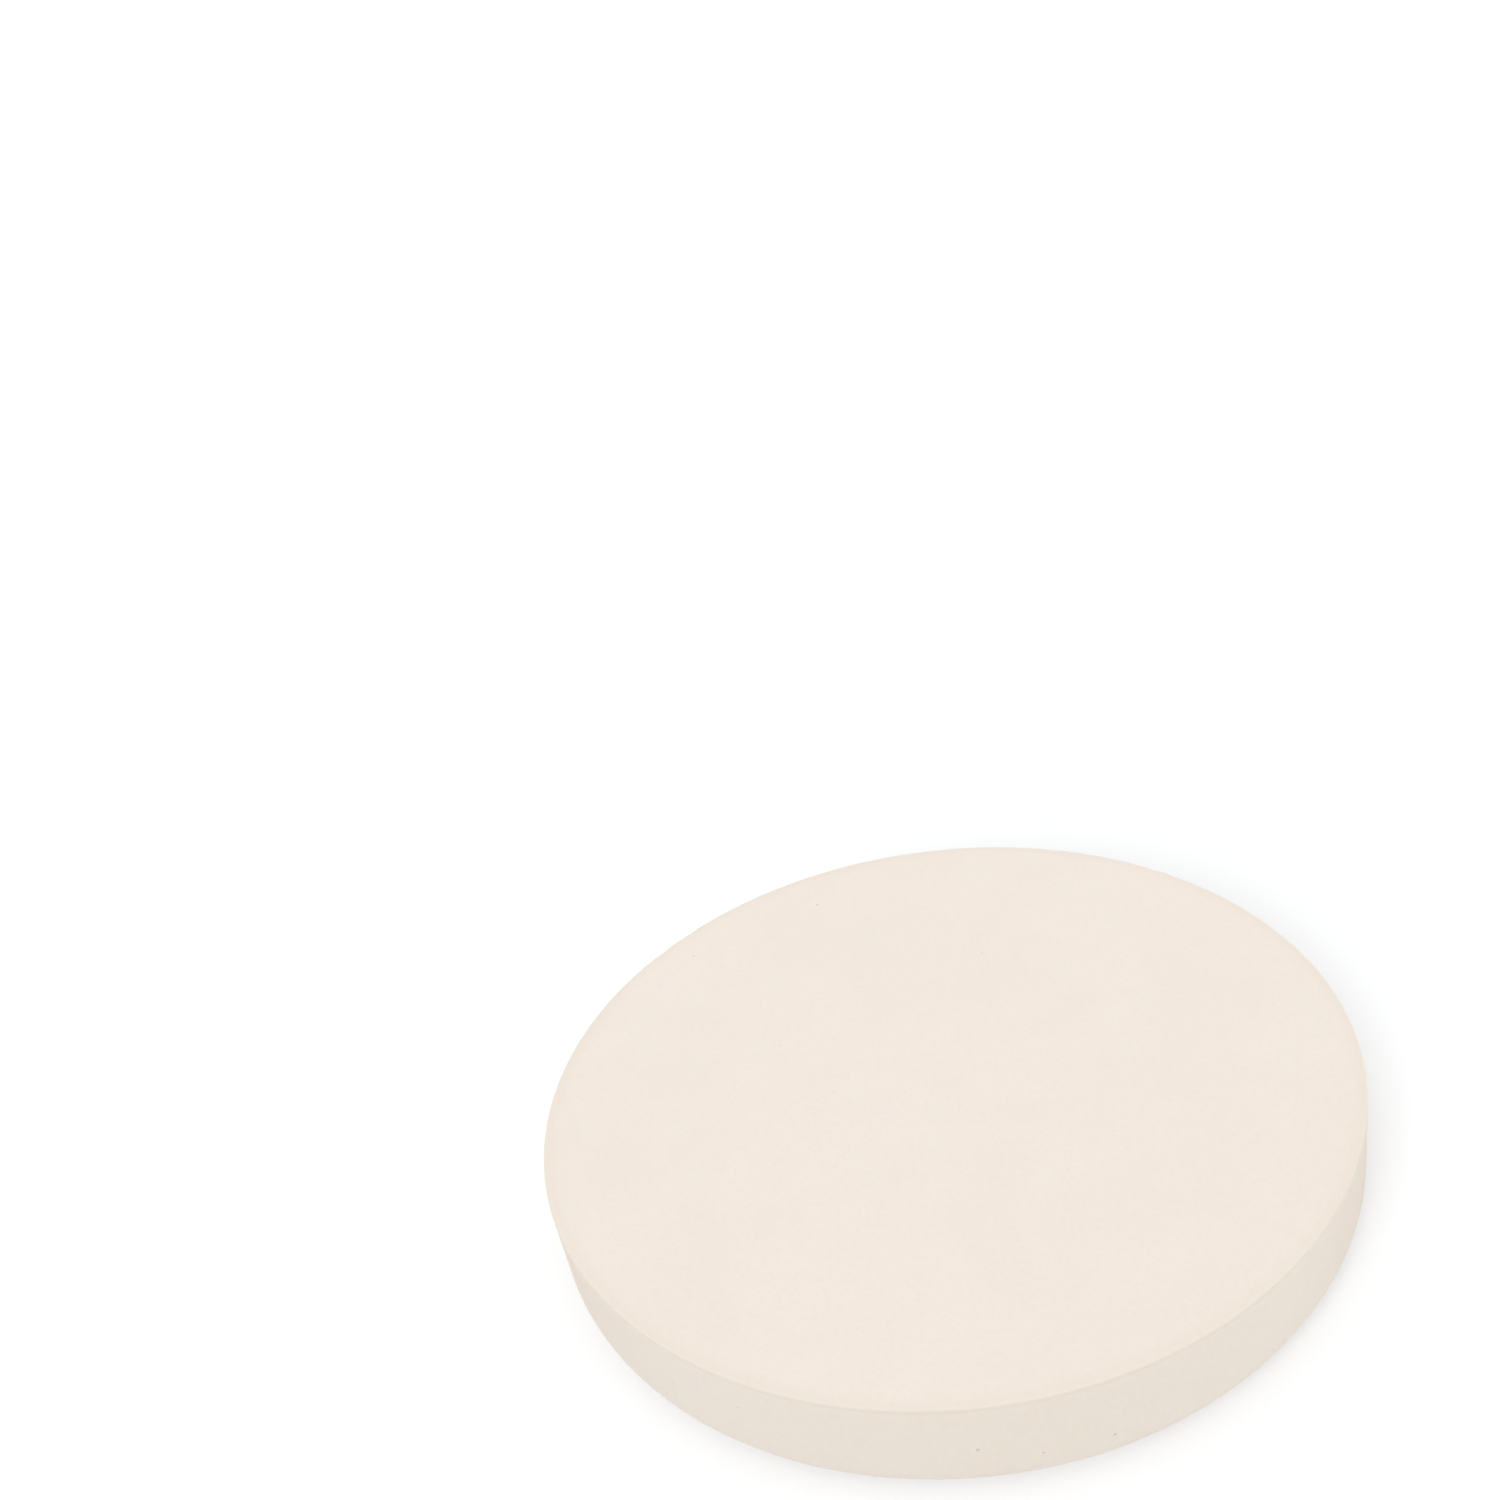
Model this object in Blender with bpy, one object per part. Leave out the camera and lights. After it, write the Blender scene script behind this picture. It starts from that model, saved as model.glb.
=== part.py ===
"""Shaving soap puck: one round, flat cake of hard soap, cast in an open mould.

Frame: metres, +Z up. The origin is the centre of the flat base, and +Z runs up the puck's own axis
to the lathering face.

The puck is a single casting, so it is one object. Its shape is one outline turned about Z: a flat
lathering face with a crisp rim, a side that leans in towards the base so that the cake leaves its
mould, a broad round at the foot, and a flat base.
"""

import math

import bpy

# Driving dimensions, in metres, and one angle in radians.
DIAMETER = 0.076  # across the rim, the widest place
THICKNESS = 0.011  # from the base to the lathering face
RIM_RADIUS = 0.0003  # the crisp edge between the lathering face and the side
FOOT_RADIUS = 0.0038  # the broad round between the side and the base
DRAFT = math.radians(1.5)  # how far the side leans in on its way down

# How finely the outline is divided.
STEPS_AROUND = 160
RIM_STEPS = 4
FOOT_STEPS = 10
MERGE_DISTANCE = 0.00001

# Hard white soap: a warm cream with a satin, slightly waxy surface.
SOAP_COLOUR = (0.80, 0.72, 0.65, 1.0)
SOAP_ROUGHNESS = 0.45
SOAP_SUBSURFACE = 0.3
SOAP_SCATTER_DEPTH = 0.001


def clear_scene():
    for obj in list(bpy.data.objects):
        bpy.data.objects.remove(obj)


def arc(centre_x, centre_z, radius, start, end, steps):
    """Points along a circular arc in the XZ plane, from angle start to angle end."""
    points = []
    for step in range(steps + 1):
        angle = start + (end - start) * step / steps
        points.append((centre_x + radius * math.cos(angle), centre_z + radius * math.sin(angle)))
    return points


def outline():
    """Half of the puck's section as (x, z) points, from the top centre down the side to the base."""
    rim_x = DIAMETER / 2 - RIM_RADIUS
    rim_z = THICKNESS - RIM_RADIUS
    foot_z = FOOT_RADIUS
    # The side is the straight line that touches both rounds and leans in by the draft angle, which
    # sets how far out the centre of the foot's round is.
    lean = (rim_z - foot_z) * math.tan(DRAFT)
    foot_x = rim_x - (FOOT_RADIUS - RIM_RADIUS) / math.cos(DRAFT) - lean
    rim = arc(rim_x, rim_z, RIM_RADIUS, math.pi / 2, -DRAFT, RIM_STEPS)
    foot = arc(foot_x, foot_z, FOOT_RADIUS, -DRAFT, -math.pi / 2, FOOT_STEPS)
    return [(0.0, THICKNESS), *rim, *foot, (0.0, 0.0)]


def soap_material():
    material = bpy.data.materials.new("soap")
    material.use_nodes = True
    surface = material.node_tree.nodes["Principled BSDF"]
    surface.inputs["Base Color"].default_value = SOAP_COLOUR
    surface.inputs["Roughness"].default_value = SOAP_ROUGHNESS
    surface.inputs["Metallic"].default_value = 0.0
    surface.inputs["Subsurface Weight"].default_value = SOAP_SUBSURFACE
    surface.inputs["Subsurface Scale"].default_value = SOAP_SCATTER_DEPTH
    return material


def turned(name, points, material):
    """A solid made by turning an open (x, z) outline, whose ends are on Z, once about Z."""
    vertices = [(x, 0.0, z) for x, z in points]
    edges = [(i, i + 1) for i in range(len(points) - 1)]
    mesh = bpy.data.meshes.new(name)
    mesh.from_pydata(vertices, edges, [])
    mesh.materials.append(material)
    obj = bpy.data.objects.new(name, mesh)
    bpy.context.scene.collection.objects.link(obj)
    turn = obj.modifiers.new("turn", "SCREW")
    turn.axis = "Z"
    turn.angle = 2 * math.pi
    turn.steps = STEPS_AROUND
    turn.render_steps = STEPS_AROUND
    turn.use_merge_vertices = True
    turn.merge_threshold = MERGE_DISTANCE
    turn.use_smooth_shade = True
    # Normals weighted by area keep the two flat faces flat and blend only the rounds.
    flats = obj.modifiers.new("flat_faces", "WEIGHTED_NORMAL")
    flats.keep_sharp = True
    return obj


def main():
    clear_scene()
    turned("soap_puck", outline(), soap_material())


main()
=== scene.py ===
"""The finished look of the shaving soap puck.

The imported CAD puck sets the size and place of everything. A finely meshed cake of soap stands for it:
the same turned outline, with the slow swells, dents, pinholes and soft nicks of cast soap cut into it.
Lengths are in metres, +Z is up, and the puck's base rests on the floor at z = 0.
"""

import math
import random
from collections import namedtuple

import bmesh
import bpy
from mathutils import Matrix, Vector, kdtree, noise


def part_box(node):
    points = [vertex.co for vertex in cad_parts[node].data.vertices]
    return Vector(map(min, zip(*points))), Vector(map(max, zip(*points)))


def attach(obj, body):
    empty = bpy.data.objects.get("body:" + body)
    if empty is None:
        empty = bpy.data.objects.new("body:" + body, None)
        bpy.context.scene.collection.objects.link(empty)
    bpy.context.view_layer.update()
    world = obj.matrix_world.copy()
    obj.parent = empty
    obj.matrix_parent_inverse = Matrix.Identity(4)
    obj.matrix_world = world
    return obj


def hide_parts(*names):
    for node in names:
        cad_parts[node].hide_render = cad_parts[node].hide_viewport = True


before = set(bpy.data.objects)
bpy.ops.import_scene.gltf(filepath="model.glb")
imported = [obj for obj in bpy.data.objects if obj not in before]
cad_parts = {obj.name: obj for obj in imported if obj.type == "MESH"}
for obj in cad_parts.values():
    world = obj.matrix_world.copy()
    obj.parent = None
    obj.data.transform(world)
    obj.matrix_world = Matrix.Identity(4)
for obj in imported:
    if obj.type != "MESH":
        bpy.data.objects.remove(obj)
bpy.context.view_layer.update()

# The puck's outline: its box comes from the CAD node, and its rounds and draft are the casting's own.
LOW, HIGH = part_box("soap_puck")
RADIUS = (HIGH.x - LOW.x) / 2
BASE_Z = LOW.z
TOP_Z = HIGH.z
RIM_ROUND = 0.0003
FOOT_ROUND = 0.0038
DRAFT = math.radians(1.5)

# The mesh: each flat face is a square grid of quads drawn out into a disc, and rings of quads join them.
GRID = 150
RIM_STEPS = 7
WALL_STEPS = 18
FOOT_STEPS = 16

# Relief, all of it cut inwards from the true outline, as (depth, width of one feature).
SWELLS = (0.000060, 0.016)
RIPPLES = (0.000016, 0.0042)
GRAIN = (0.000006, 0.0011)
# The lathering face sinks a little towards the rim, as poured soap does while it sets.
SINK_DEPTH = 0.00010
SINK_WIDTH = 0.0024

# Single marks. A pair holds the least and the greatest, and ON_FACE is the share on the lathering face.
SEED = 76
PINHOLES = 14
PINHOLES_ON_FACE = 0.4
PINHOLE_RADIUS = (0.00011, 0.00021)
PINHOLE_DEPTH = 0.8  # in radii
PINHOLE_FLOOR = 0.3  # the flat bottom, in radii
NICKS = 9
NICK_LENGTH = (0.0016, 0.0036)
NICK_DEPTH = (0.00003, 0.00009)
DENTS = 10
DENTS_ON_FACE = 0.6
DENT_RADIUS = (0.0011, 0.0024)
DENT_DEPTH = (0.00004, 0.00009)
# Pinholes and dents keep off the rim. The side leans in, so those on it lie inside the full radius.
FACE_SPREAD = 0.93 * RADIUS
SIDE_CLEARANCE = 4 * RIM_ROUND
SIDE_INSET = 0.0002
# Each pass splits the quads within a reach, in radii of the largest pinhole, into this many parts a side.
PINHOLE_REACHES = (2.4, 1.5)
PINHOLE_SPLIT = 4


# ---------------------------------------------------------------- shape


def arc(centre_r, centre_z, radius, start, end, steps):
    """Points (r, z) along a circular arc, without its first point."""
    points = []
    for step in range(1, steps + 1):
        angle = start + (end - start) * step / steps
        points.append((centre_r + radius * math.cos(angle), centre_z + radius * math.sin(angle)))
    return points


def side_outline():
    """(r, z) points from the edge of the lathering face, over the rim and down to the edge of the base."""
    rim_r = RADIUS - RIM_ROUND
    rim_z = TOP_Z - RIM_ROUND
    foot_z = BASE_Z + FOOT_ROUND
    # The wall is the straight line that touches both rounds.
    lean = (rim_z - foot_z) * math.tan(DRAFT)
    foot_r = rim_r - (FOOT_ROUND - RIM_ROUND) / math.cos(DRAFT) - lean
    rim = [(rim_r, TOP_Z)] + arc(rim_r, rim_z, RIM_ROUND, math.pi / 2, -DRAFT, RIM_STEPS)
    foot = arc(foot_r, foot_z, FOOT_ROUND, -DRAFT, -math.pi / 2, FOOT_STEPS)
    wall_top = Vector(rim[-1])
    wall_foot = Vector((foot_r + FOOT_ROUND * math.cos(DRAFT), foot_z - FOOT_ROUND * math.sin(DRAFT)))
    wall = [tuple(wall_top.lerp(wall_foot, step / WALL_STEPS)) for step in range(1, WALL_STEPS + 1)]
    return rim + wall + foot


def onto_disc(u, v):
    """Moves a point of the square from -1 to 1 onto the unit disc, turning nested squares into circles."""
    if u == 0 and v == 0:
        return 0.0, 0.0
    if abs(u) > abs(v):
        radius = u
        angle = math.pi / 4 * v / u
    else:
        radius = v
        angle = math.pi / 2 - math.pi / 4 * u / v
    return radius * math.cos(angle), radius * math.sin(angle)


def add_disc(bm, radius, z, faces_up):
    """A flat disc of quads. Returns the vertices of its edge, in order round it."""
    rows = []
    for i in range(GRID + 1):
        spots = [onto_disc(2 * i / GRID - 1, 2 * j / GRID - 1) for j in range(GRID + 1)]
        rows.append([bm.verts.new((x * radius, y * radius, z)) for x, y in spots])
    for i in range(GRID):
        for j in range(GRID):
            corners = [rows[i][j], rows[i + 1][j], rows[i + 1][j + 1], rows[i][j + 1]]
            bm.faces.new(corners if faces_up else reversed(corners))
    south = [rows[i][0] for i in range(GRID)]
    east = [rows[GRID][j] for j in range(GRID)]
    north = [rows[i][GRID] for i in range(GRID, 0, -1)]
    west = [rows[0][j] for j in range(GRID, 0, -1)]
    return south + east + north + west


def plain_puck():
    """The exact outline as one closed mesh of quads."""
    bm = bmesh.new()
    outline = side_outline()
    top_edge = add_disc(bm, outline[0][0], TOP_Z, True)
    base_edge = add_disc(bm, outline[-1][0], BASE_Z, False)
    angles = [math.atan2(vert.co.y, vert.co.x) for vert in top_edge]
    rings = [top_edge]
    for r, z in outline[1:-1]:
        rings.append([bm.verts.new((r * math.cos(angle), r * math.sin(angle), z)) for angle in angles])
    rings.append(base_edge)
    for above, below in zip(rings, rings[1:]):
        for k in range(len(angles)):
            after = (k + 1) % len(angles)
            bm.faces.new((above[k], below[k], below[after], above[after]))
    bm.normal_update()
    return bm


def refine_round(bm, centres, reach):
    """Splits the quads near each centre, so that they can hold a pinhole."""
    bm.verts.ensure_lookup_table()
    bm.edges.index_update()
    tree = kdtree.KDTree(len(bm.verts))
    for index, vert in enumerate(bm.verts):
        tree.insert(vert.co, index)
    tree.balance()
    near = set()
    for centre in centres:
        near.update(index for _, index, _ in tree.find_range(centre, reach))
    # Edges in index order give the same mesh on each run.
    edges = {edge for index in near for edge in bm.verts[index].link_edges}
    ordered = sorted(edges, key=lambda edge: edge.index)
    bmesh.ops.subdivide_edges(bm, edges=ordered, cuts=PINHOLE_SPLIT - 1, use_grid_fill=True)


def between(span, rng):
    """A random value between the two ends of a span."""
    return span[0] + (span[1] - span[0]) * rng.random()


def scatter(count, rng, share_on_face):
    """Points spread over the lathering face and the side wall, away from the rim."""
    points = []
    for index in range(count):
        angle = rng.uniform(0, 2 * math.pi)
        if index < count * share_on_face:
            r = FACE_SPREAD * math.sqrt(rng.random())
            z = TOP_Z
        else:
            r = RADIUS - SIDE_INSET
            z = rng.uniform(BASE_Z + FOOT_ROUND, TOP_Z - SIDE_CLEARANCE)
        points.append(Vector((r * math.cos(angle), r * math.sin(angle), z)))
    return points


def smoothstep(low, high, value):
    """0 up to low, 1 from high on, and a smooth rise between them."""
    t = min(max((value - low) / (high - low), 0.0), 1.0)
    return t * t * (3 - 2 * t)


def fade(distance, reach):
    """1 at the middle of a feature, 0 at its edge and beyond."""
    return 1 - smoothstep(0, 1, distance / reach)


def waviness(point, depth_and_width):
    """Between 0 and the depth, changing slowly over the given width."""
    depth, width = depth_and_width
    return depth * (0.5 + 0.5 * noise.noise(point / width))


class Flaws:
    """The single marks in the soap: pinholes, nicks along the rim and shallow dents."""

    def __init__(self, rng):
        spots = scatter(PINHOLES, rng, PINHOLES_ON_FACE)
        self.pinholes = [(spot, between(PINHOLE_RADIUS, rng)) for spot in spots]
        self.nicks = []
        for _ in range(NICKS):
            angle = rng.uniform(0, 2 * math.pi)
            spot = Vector((RADIUS * math.cos(angle), RADIUS * math.sin(angle), TOP_Z))
            self.nicks.append((spot, between(NICK_LENGTH, rng) / 2, between(NICK_DEPTH, rng)))
        self.dents = []
        for spot in scatter(DENTS, rng, DENTS_ON_FACE):
            self.dents.append((spot, between(DENT_RADIUS, rng), between(DENT_DEPTH, rng)))

    def depth(self, point):
        """How far the marks reach in at this point of the surface."""
        depth = 0.0
        for spot, reach, deepest in self.dents + self.nicks:
            depth += deepest * fade((point - spot).length, reach)
        for spot, radius in self.pinholes:
            wall = smoothstep(PINHOLE_FLOOR, 1.0, (point - spot).length / radius)
            depth += PINHOLE_DEPTH * radius * (1 - wall)
        return depth


def relief(point, flaws):
    """How far inside the true outline the real surface is."""
    depth = waviness(point, SWELLS) + waviness(point, RIPPLES) + waviness(point, GRAIN)
    from_edge = RADIUS - math.hypot(point.x, point.y)
    on_face = smoothstep(TOP_Z - RIM_ROUND, TOP_Z, point.z)
    depth += SINK_DEPTH * on_face * (1 - smoothstep(0, SINK_WIDTH, from_edge))
    return depth + flaws.depth(point)


def soap_cake():
    """The finely meshed puck, with the relief and the flaws cut into it."""
    flaws = Flaws(random.Random(SEED))
    bm = plain_puck()
    centres = [spot for spot, _ in flaws.pinholes]
    for reach in PINHOLE_REACHES:
        refine_round(bm, centres, reach * PINHOLE_RADIUS[1])
    bm.normal_update()
    moves = [(vert, vert.co - vert.normal * relief(vert.co, flaws)) for vert in bm.verts]
    for vert, place in moves:
        vert.co = place
    mesh = bpy.data.meshes.new("soap_cake")
    bm.to_mesh(mesh)
    bm.free()
    mesh.shade_smooth()
    cake = bpy.data.objects.new("soap_cake", mesh)
    bpy.context.scene.collection.objects.link(cake)
    return cake


# ---------------------------------------------------------------- material

# Linear colours. Pale, deep and speckle are the soap's own. The side, rim, foot and turned tints are
# painted light and shade mixed into them. A share is the most of a tint that is mixed in.
SOAP_PALE = (0.837, 0.762, 0.692, 1)
SOAP_DEEP = (0.828, 0.751, 0.678, 1)
# Painted shade: the lathering face turns darker and warmer over its last few millimetres to the rim.
RIM_SHADE_TINT = (0.782, 0.711, 0.631, 1)
# Painted shade: the side turns darker and warmer towards the floor, and the base takes it too.
FOOT_SHADE_TINT = (0.814, 0.714, 0.639, 1)
FOOT_SHADE_SHARE = 0.85
# A painted tint: the side wall is made warmer, against the cool light that the floor throws up onto it.
SIDE_PAINTED_TINT = (0.838, 0.760, 0.662, 1)
SIDE_PAINTED_SHARE = 0.5
SPECKLE_TINT = (0.78, 0.70, 0.62, 1)
SPECKLE_SHARE = 0.22
# Painted shade: the side turns a little darker and warmer where it turns out of sight.
TURNED_SHADE_TINT = (0.776, 0.664, 0.556, 1)

# Where the painted tints and shades lie, as (where the zone starts, where it is full). Face, foot and
# upright zones are heights, the rim zone is a radius, and the turned zone is what facing_round gives.
FACE_ZONE = (TOP_Z - 0.0008, TOP_Z - 0.0003)
FOOT_SHADE_ZONE = (BASE_Z + 0.0042, BASE_Z + 0.0006)
UPRIGHT_ZONE = (BASE_Z + 0.0002, BASE_Z + 0.0020)
RIM_SHADE_ZONE = (RADIUS - 0.0030, RADIUS + 0.0001)
RIM_SHADE_SHARPNESS = 4.0  # the power that crowds the rim's painted shade towards the rim
TURNED_SHADE_ZONE = (0.65, 0.0)

# Smooth noise: width is that of its largest features, and it has no effect at low and its full effect
# at high.
Cloud = namedtuple("Cloud", "width detail twist low high")
MARBLING = Cloud(0.014, 4.0, 1.2, 0.35, 0.65)
SPECKLE = Cloud(0.0005, 2.0, 0.0, 0.40, 0.68)
SMEARS = Cloud(0.006, 3.0, 0.8, 0.3, 0.7)
SATIN = (0.42, 0.54)  # the roughness outside and inside a smear

# Bumps too small for the mesh, as (width of one bump, height).
BUMPS = ((0.0012, 0.000030), (0.00028, 0.000014))
BUMP_DETAIL = 2.0

# Light that goes a little way into the soap, red the farthest.
SCATTER_SHARE = 0.45
SCATTER_DEPTH = 0.0009
SCATTER_COLOUR = (1.0, 0.80, 0.62)
SOAP_IOR = 1.46

LEVEL = (1, 1, 0)  # times a vector, leaves its level part
# The Mix node's sockets for two colours, which come after those for numbers and vectors.
MIX_SHARE, MIX_FIRST, MIX_SECOND, MIX_RESULT = 0, 6, 7, 2


def add_node(tree, kind, inputs=None, **settings):
    """Adds a node. inputs maps a socket to a value, or to the output that feeds it."""
    made = tree.nodes.new(kind)
    for key, value in settings.items():
        setattr(made, key, value)
    for key, value in (inputs or {}).items():
        if isinstance(value, bpy.types.NodeSocket):
            tree.links.new(value, made.inputs[key])
        else:
            made.inputs[key].default_value = value
    return made


def ramp(tree, value, from_min, from_max, to_min=0.0, to_max=1.0):
    """value mapped smoothly from one range to another, and held at its ends."""
    inputs = {"Value": value, "From Min": from_min, "From Max": from_max, "To Min": to_min, "To Max": to_max}
    made = add_node(tree, "ShaderNodeMapRange", inputs, interpolation_type="SMOOTHSTEP")
    return made.outputs["Result"]


def maths(tree, operation, first, second):
    made = add_node(tree, "ShaderNodeMath", {0: first, 1: second}, operation=operation)
    return made.outputs[0]


def vector_maths(tree, operation, first, second=(0, 0, 0), result="Vector"):
    made = add_node(tree, "ShaderNodeVectorMath", {0: first, 1: second}, operation=operation)
    return made.outputs[result]


def mixed(tree, share, first, second):
    """One colour moved towards another by share."""
    inputs = {MIX_SHARE: share, MIX_FIRST: first, MIX_SECOND: second}
    return add_node(tree, "ShaderNodeMix", inputs, data_type="RGBA").outputs[MIX_RESULT]


def smooth_noise(tree, place, width, detail, twist=0.0):
    """Noise from 0 to 1, whose largest features are about width across."""
    inputs = {"Vector": place, "Scale": 1 / width, "Detail": detail, "Distortion": twist}
    return add_node(tree, "ShaderNodeTexNoise", inputs).outputs["Fac"]


def cloudy(tree, place, cloud, least=0.0, most=1.0):
    """A value that drifts between least and most as the cloud does."""
    drift = smooth_noise(tree, place, cloud.width, cloud.detail, cloud.twist)
    return ramp(tree, drift, cloud.low, cloud.high, least, most)


def facing_round(tree):
    """How squarely an upright surface faces the eye, seen from above: 1 straight on, 0 edge on."""
    geometry = add_node(tree, "ShaderNodeNewGeometry").outputs
    level = []
    for direction in (geometry["Normal"], geometry["Incoming"]):
        level.append(vector_maths(tree, "NORMALIZE", vector_maths(tree, "MULTIPLY", direction, LEVEL)))
    return vector_maths(tree, "DOT_PRODUCT", level[0], level[1], "Value")


def soap_colour(tree, place):
    """Faint marbling, a painted shade or tint for each zone of the cake, then fine speckle over all of it.
    """
    height = add_node(tree, "ShaderNodeSeparateXYZ", {0: place}).outputs["Z"]
    radius = vector_maths(tree, "LENGTH", vector_maths(tree, "MULTIPLY", place, LEVEL), result="Value")

    on_face = ramp(tree, height, *FACE_ZONE)
    # The painted warm tint on the side wall.
    side = ramp(tree, on_face, 0, 1, SIDE_PAINTED_SHARE, 0)
    # Painted shade on the face, crowded towards the rim.
    near_rim = maths(tree, "POWER", ramp(tree, radius, *RIM_SHADE_ZONE), RIM_SHADE_SHARPNESS)
    rim = maths(tree, "MULTIPLY", near_rim, on_face)
    # Painted shade, darker towards the floor.
    foot = ramp(tree, height, *FOOT_SHADE_ZONE, 0.0, FOOT_SHADE_SHARE)
    # Painted shade where the side turns out of sight. The base lies below the upright zone, so it keeps out
    # of the turned shade.
    upright = maths(tree, "SUBTRACT", ramp(tree, height, *UPRIGHT_ZONE), on_face)
    turned = maths(tree, "MULTIPLY", upright, ramp(tree, facing_round(tree), *TURNED_SHADE_ZONE))

    colour = mixed(tree, cloudy(tree, place, MARBLING), SOAP_PALE, SOAP_DEEP)
    colour = mixed(tree, side, colour, SIDE_PAINTED_TINT)
    colour = mixed(tree, rim, colour, RIM_SHADE_TINT)
    colour = mixed(tree, foot, colour, FOOT_SHADE_TINT)
    colour = mixed(tree, turned, colour, TURNED_SHADE_TINT)
    return mixed(tree, cloudy(tree, place, SPECKLE, 0.0, SPECKLE_SHARE), colour, SPECKLE_TINT)


def soap_bumps(tree, place):
    """The normal of a surface with one size of bump laid over another."""
    below = {}
    for width, height in BUMPS:
        bump = smooth_noise(tree, place, width, BUMP_DETAIL)
        inputs = {"Height": bump, "Distance": height, "Strength": 1.0, **below}
        normal = add_node(tree, "ShaderNodeBump", inputs).outputs["Normal"]
        below = {"Normal": normal}
    return normal


def soap_material():
    material = bpy.data.materials.new("soap")
    material.use_nodes = True
    tree = material.node_tree
    surface = tree.nodes["Principled BSDF"]
    place = add_node(tree, "ShaderNodeTexCoord").outputs["Object"]
    tree.links.new(soap_colour(tree, place), surface.inputs["Base Color"])
    tree.links.new(cloudy(tree, place, SMEARS, *SATIN), surface.inputs["Roughness"])
    tree.links.new(soap_bumps(tree, place), surface.inputs["Normal"])
    surface.subsurface_method = "RANDOM_WALK"
    surface.inputs["Subsurface Weight"].default_value = SCATTER_SHARE
    surface.inputs["Subsurface Radius"].default_value = SCATTER_COLOUR
    surface.inputs["Subsurface Scale"].default_value = SCATTER_DEPTH
    surface.inputs["IOR"].default_value = SOAP_IOR
    return material


# ---------------------------------------------------------------- stage

WHITE = (1, 1, 1, 1)
FLOOR_SIZE = 12.0
FLOOR_COLOUR = (0.55, 0.55, 0.55, 1)
# The floor glows a little, so that it looks white and the shadows on it stay light. The camera sees more
# of the glow than the soap does, so that the floor doesn't wash out the soap's side.
FLOOR_GLOW = 0.218
FLOOR_GLOW_SEEN = 0.267
FLOOR_GLOW_COLOUR = (0.993, 1.0, 1.004, 1)
# The sky is soft light from all round. What the camera sees of it is pure white.
SKY_STRENGTH = 0.8
BACKDROP_STRENGTH = 1.05
# The key is a wide, soft light from above, and it lights everything.
KEY_STRENGTH = 0.90
KEY_SPREAD = math.radians(90)
KEY_TOWARDS = Vector((-0.02, -0.10, 1.0))
# The caster lights the floor alone, so that a shadow falls to the right and the soap stays evenly lit.
CASTER_STRENGTH = 2.5
CASTER_SPREAD = math.radians(40)
CASTER_COLOUR = (0.95, 1.0, 1.04)
CASTER_TOWARDS = Vector((-0.34, -0.94, 0.57))

# Lens and sensor are in millimetres. The camera stands in front of the puck, and looks past it, so that
# the puck is low and to the right in the picture.
LENS = 48.0
SENSOR = 36.0
CAMERA_ELEVATION = math.radians(41.0)
CAMERA_DISTANCE = 5.0 * RADIUS
CAMERA_TILT = math.radians(30.85)
CAMERA_PAN = math.radians(4.64)
CAMERA_ROLL = math.radians(-11.2)
CLIP_START = 0.01


def seen_or_not(tree, strength, strength_seen):
    """One strength for the light that a thing gives, and another for how the camera sees it."""
    seen = add_node(tree, "ShaderNodeLightPath").outputs["Is Camera Ray"]
    return ramp(tree, seen, 0, 1, strength, strength_seen)


def floor_material():
    material = bpy.data.materials.new("floor_white")
    material.use_nodes = True
    tree = material.node_tree
    surface = tree.nodes["Principled BSDF"]
    surface.inputs["Base Color"].default_value = FLOOR_COLOUR
    surface.inputs["Roughness"].default_value = 1.0
    surface.inputs["Specular IOR Level"].default_value = 0.0
    surface.inputs["Emission Color"].default_value = FLOOR_GLOW_COLOUR
    glow = seen_or_not(tree, FLOOR_GLOW, FLOOR_GLOW_SEEN)
    tree.links.new(glow, surface.inputs["Emission Strength"])
    return material


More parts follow.
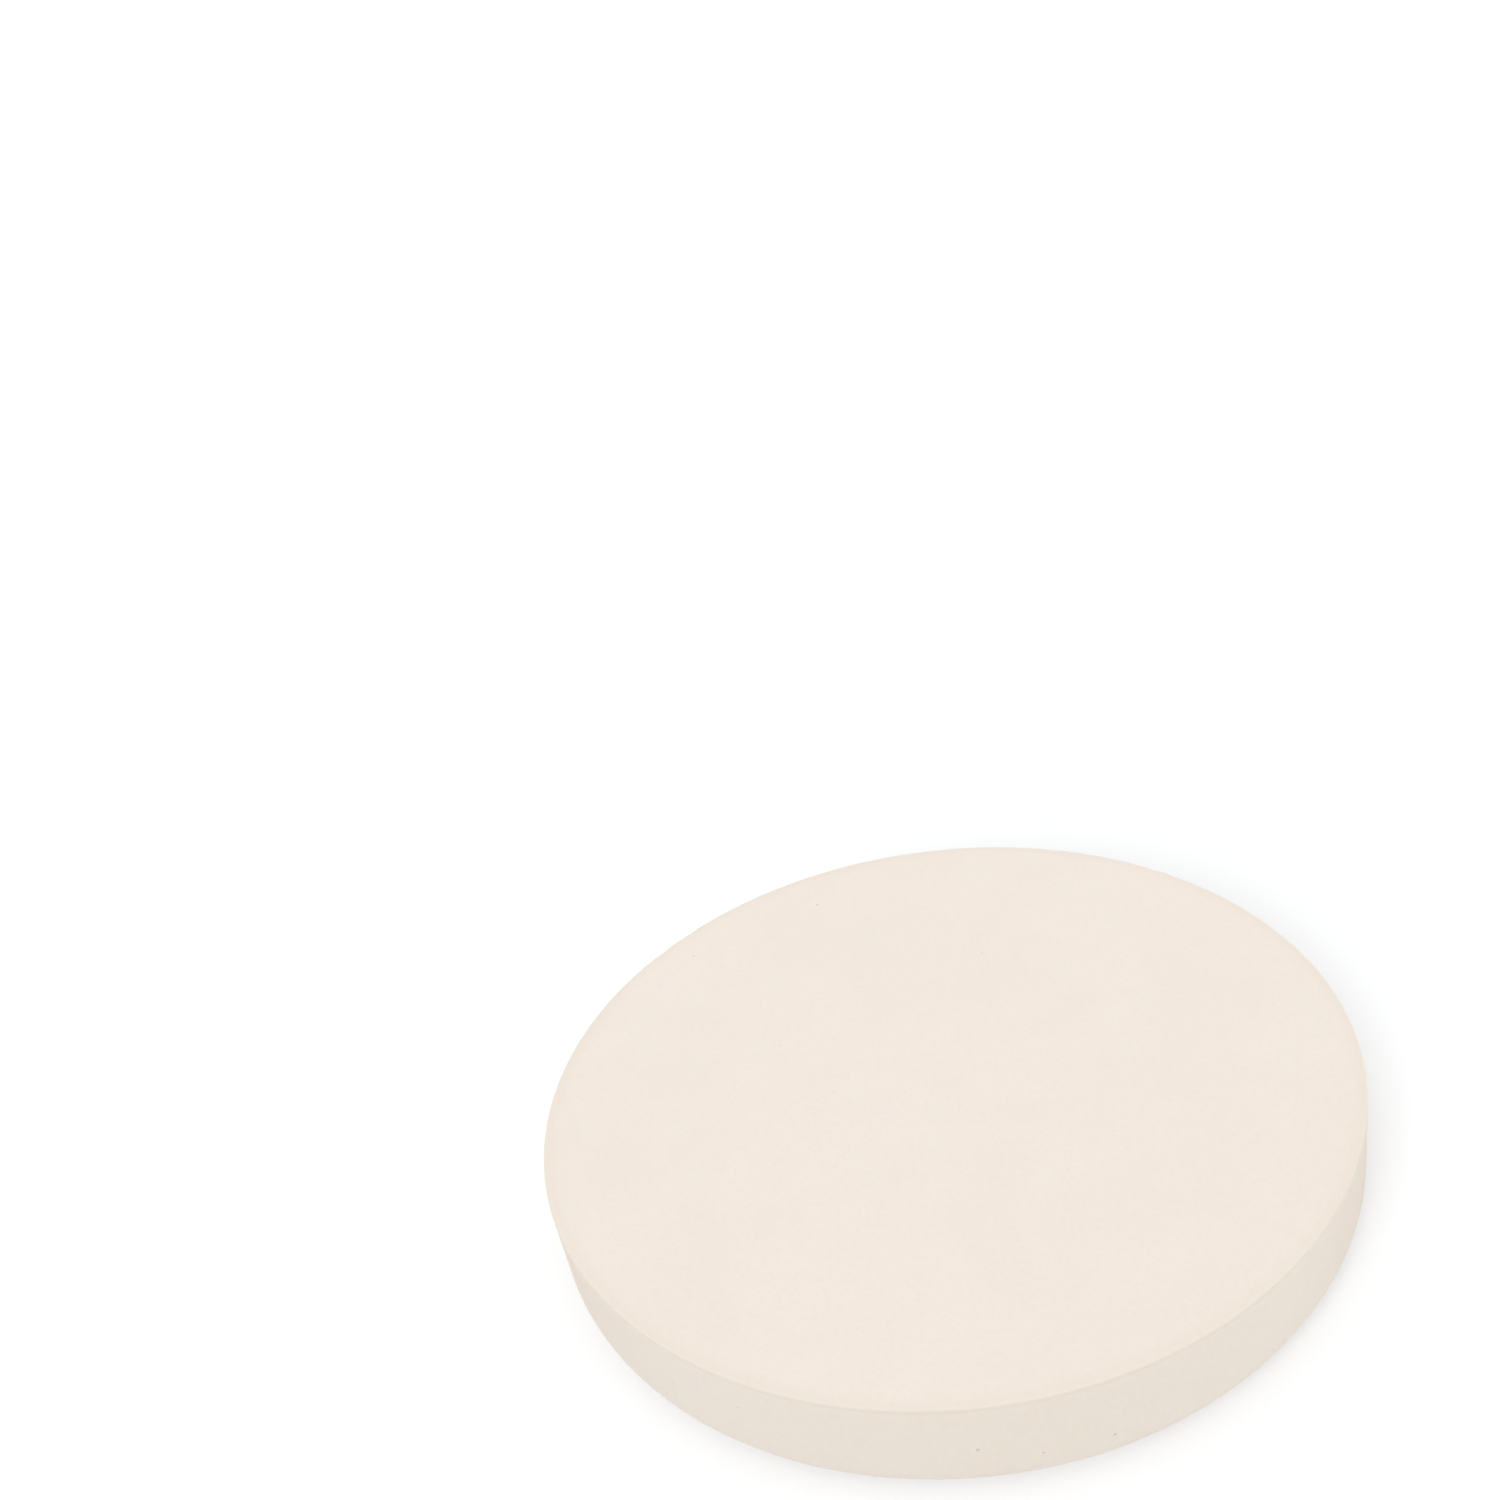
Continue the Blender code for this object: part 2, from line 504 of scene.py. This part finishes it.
def add_floor():
    mesh = bpy.data.meshes.new("floor")
    bm = bmesh.new()
    bmesh.ops.create_grid(bm, x_segments=1, y_segments=1, size=FLOOR_SIZE / 2)
    bm.to_mesh(mesh)
    bm.free()
    mesh.materials.append(floor_material())
    floor = bpy.data.objects.new("floor", mesh)
    bpy.context.scene.collection.objects.link(floor)
    return floor


def add_sky():
    world = bpy.data.worlds.new("studio")
    world.use_nodes = True
    tree = world.node_tree
    background = tree.nodes["Background"]
    background.inputs["Color"].default_value = WHITE
    tree.links.new(seen_or_not(tree, SKY_STRENGTH, BACKDROP_STRENGTH), background.inputs["Strength"])
    bpy.context.scene.world = world


def add_sun(name, strength, spread, towards):
    """A light from far away. towards points from the puck to the light."""
    data = bpy.data.lights.new(name, "SUN")
    data.energy = strength
    data.angle = spread
    sun = bpy.data.objects.new(name, data)
    sun.rotation_euler = towards.to_track_quat("Z", "Y").to_euler()
    bpy.context.scene.collection.objects.link(sun)
    return sun


def add_suns(floor):
    add_sun("key", KEY_STRENGTH, KEY_SPREAD, KEY_TOWARDS)
    caster = add_sun("shadow_caster", CASTER_STRENGTH, CASTER_SPREAD, CASTER_TOWARDS)
    caster.data.color = CASTER_COLOUR
    floor_only = bpy.data.collections.new("floor_only")
    floor_only.objects.link(floor)
    caster.light_linking.receiver_collection = floor_only


def add_camera():
    data = bpy.data.cameras.new("camera")
    data.lens = LENS
    data.sensor_width = SENSOR
    data.clip_start = CLIP_START
    data.clip_end = 2 * FLOOR_SIZE
    camera = bpy.data.objects.new("camera", data)
    back = Vector((0, -math.cos(CAMERA_ELEVATION), math.sin(CAMERA_ELEVATION)))
    camera.location = Vector((0, 0, TOP_Z)) + back * CAMERA_DISTANCE
    pan = Matrix.Rotation(CAMERA_PAN, 3, "Z")
    tilt = Matrix.Rotation(math.pi / 2 - CAMERA_TILT, 3, "X")
    roll = Matrix.Rotation(CAMERA_ROLL, 3, "Z")
    camera.rotation_euler = (pan @ tilt @ roll).to_euler()
    bpy.context.scene.collection.objects.link(camera)
    bpy.context.scene.camera = camera


cake = soap_cake()
cake.data.materials.append(soap_material())
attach(cake, "root")
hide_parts("soap_puck")
add_sky()
add_suns(add_floor())
add_camera()
# Plain tones, so that the floor is as white as the light makes it.
bpy.context.scene.view_settings.view_transform = "Standard"
